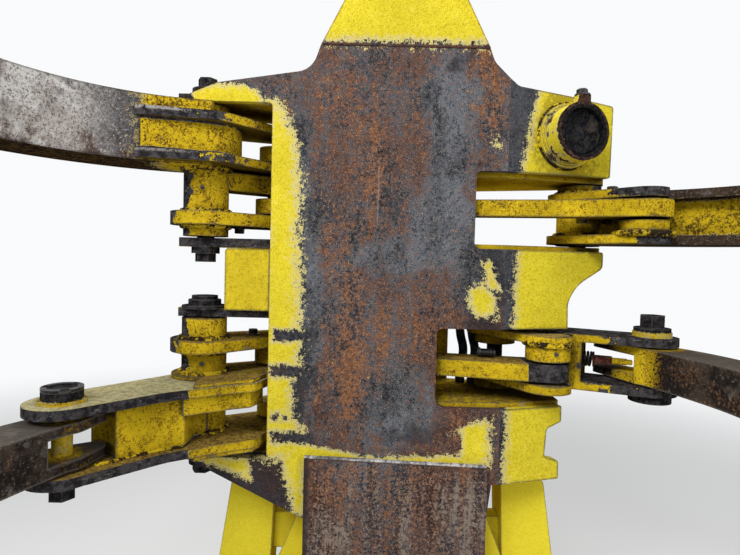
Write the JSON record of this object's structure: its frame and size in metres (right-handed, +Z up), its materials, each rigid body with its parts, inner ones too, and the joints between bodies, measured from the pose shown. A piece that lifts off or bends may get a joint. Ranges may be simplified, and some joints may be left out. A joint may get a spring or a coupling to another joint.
{
  "type": "disc saw felling head",
  "caption": "Felling head with a disc saw in a round housing, a tall front plate with a horn, and two pairs of linked clamp arms closed by cylinders.",
  "frame": {"origin": "on the ground, where the saw spindle axis meets the skid sole", "axes": "+Z up, +X to the right as seen from in front of the head, the front plate faces -Y"},
  "size_m": [2.2836, 1.9202, 2.62],
  "materials": {
    "yellow_paint": "worn gloss",
    "worn_plate": "rusted and rubbed bare",
    "bare_steel": "scuffed",
    "pin_steel": "greasy",
    "stop_rubber": "crumbled",
    "chromed_rod": "polished",
    "dark_iron": "painted dark"
  },
  "bodies": {
    "frame": {"anchor_lower": "yellow_paint", "anchor_upper": "yellow_paint", "bumper_rubber": "stop_rubber", "bumper_tube": "yellow_paint", "deck": "yellow_paint", "front_plate": "worn_plate", "horn": "yellow_paint", "left_lobe": "yellow_paint", "leg_left": "yellow_paint", "leg_right": "yellow_paint", "lower_plate": "worn_plate", "mast_walls": "yellow_paint", "motor_ledge": "yellow_paint", "pin_left_lower": "pin_steel", "pin_left_upper": "pin_steel", "pin_right_lower": "pin_steel", "pin_right_upper": "pin_steel", "pivot_ears": "yellow_paint", "rib_a": "yellow_paint", "rib_b_left": "yellow_paint", "rib_b_right": "yellow_paint", "rib_c": "yellow_paint", "rib_d": "yellow_paint", "rib_right_shoulder": "yellow_paint", "rib_top": "yellow_paint", "right_lower_lobe": "yellow_paint", "right_shoulder_plate": "yellow_paint", "right_upper_lobe": "yellow_paint", "saw_motor": "dark_iron", "saw_wall": "yellow_paint", "skid": "bare_steel", "spindle_housing": "yellow_paint", "spine_back": "yellow_paint", "spine_mid": "yellow_paint", "tilt_ears": "yellow_paint"},
    "saw": {"saw_disc": "bare_steel", "saw_teeth": "bare_steel", "saw_hub": "bare_steel"},
    "arm_upper_left": {"arm_ul_hub": "yellow_paint", "arm_ul_beam": "yellow_paint"},
    "arm_upper_right": {"arm_ur_hub": "yellow_paint", "arm_ur_beam": "yellow_paint"},
    "arm_lower_left": {"arm_ll_hub": "yellow_paint", "arm_ll_beam": "yellow_paint", "tip_pin_left": "pin_steel"},
    "arm_lower_right": {"arm_lr_hub": "yellow_paint", "tip_pin_right": "pin_steel"},
    "arm_tip_left": {"tip_left": "bare_steel"},
    "arm_tip_right": {"tip_right": "bare_steel"},
    "sync_link_upper": {"link_upper": "yellow_paint"},
    "sync_link_lower": {"link_lower": "yellow_paint"},
    "cylinder_barrel_upper": {"barrel_upper": "yellow_paint"},
    "cylinder_rod_upper": {"rod_upper": "chromed_rod"},
    "cylinder_barrel_lower": {"barrel_lower": "yellow_paint"},
    "cylinder_rod_lower": {"rod_lower": "chromed_rod"}
  },
  "joints": [
    {"name": "saw_spin", "type": "hinge", "parent": "frame", "child": "saw", "pos_m": [0, 0, 0.075], "axis": [0, 0, 1], "continuous": true},
    {"name": "upper_left_swing", "type": "hinge", "parent": "frame", "child": "arm_upper_left", "pos_m": [-0.598, -0.032, 1.85], "axis": [0, 0, 1], "range_deg": [0, 85]},
    {"name": "upper_right_swing", "type": "hinge", "parent": "frame", "child": "arm_upper_right", "pos_m": [0.584, 0.065, 1.75], "axis": [0, 0, 1], "range_deg": [-85, 0]},
    {"name": "upper_link_eye", "type": "hinge", "parent": "arm_upper_left", "child": "sync_link_upper", "pos_m": [-0.41193, 0.10319, 1.762], "axis": [0, 0, 1], "range_deg": [-84.73, 0]},
    {"name": "upper_barrel_swing", "type": "hinge", "parent": "frame", "child": "cylinder_barrel_upper", "pos_m": [0.26, 0.15, 1.932], "axis": [0, 0, 1], "range_deg": [-4.87, 0]},
    {"name": "upper_rod_slide", "type": "slide", "parent": "cylinder_barrel_upper", "child": "cylinder_rod_upper", "axis": [-0.9976, -0.0695, 0], "range_m": [0, 0.30302]},
    {"name": "lower_left_swing", "type": "hinge", "parent": "frame", "child": "arm_lower_left", "pos_m": [-0.598, -0.032, 1.22], "axis": [0, 0, 1], "range_deg": [0, 74]},
    {"name": "lower_right_swing", "type": "hinge", "parent": "frame", "child": "arm_lower_right", "pos_m": [0.345, 0.15, 1.29], "axis": [0, 0, 1], "range_deg": [-74, 0]},
    {"name": "lower_link_eye", "type": "hinge", "parent": "arm_lower_left", "child": "sync_link_lower", "pos_m": [-0.40888, 0.11576, 1.274], "axis": [0, 0, 1], "range_deg": [-75.96, 0]},
    {"name": "lower_barrel_swing", "type": "hinge", "parent": "frame", "child": "cylinder_barrel_lower", "pos_m": [0.26, 0.15, 1.095], "axis": [0, 0, 1], "range_deg": [-5.38, 0]},
    {"name": "lower_rod_slide", "type": "slide", "parent": "cylinder_barrel_lower", "child": "cylinder_rod_lower", "axis": [-0.9987, -0.0511, 0], "range_m": [0, 0.27902]},
    {"name": "tip_left_swing", "type": "hinge", "parent": "arm_lower_left", "child": "arm_tip_left", "pos_m": [-0.84487, -0.37179, 1.128], "axis": [0, 0, 1], "range_deg": [-20, 0]},
    {"name": "tip_right_swing", "type": "hinge", "parent": "arm_lower_right", "child": "arm_tip_right", "pos_m": [0.77462, -0.05954, 1.309], "axis": [0, 0, 1], "range_deg": [0, 20]}
  ],
  "couplings": [
    {"joint": "upper_right_swing", "follows": "upper_left_swing", "ratio": -1},
    {"joint": "upper_link_eye", "follows": "upper_left_swing", "ratio": -0.99678},
    {"joint": "upper_barrel_swing", "follows": "upper_left_swing", "ratio": -0.057339},
    {"joint": "upper_rod_slide", "follows": "upper_left_swing", "m_per_rad": 0.20426},
    {"joint": "lower_right_swing", "follows": "lower_left_swing", "ratio": -1},
    {"joint": "lower_link_eye", "follows": "lower_left_swing", "ratio": -1.0265},
    {"joint": "lower_barrel_swing", "follows": "lower_left_swing", "ratio": -0.072683},
    {"joint": "lower_rod_slide", "follows": "lower_left_swing", "m_per_rad": 0.21604}
  ]
}
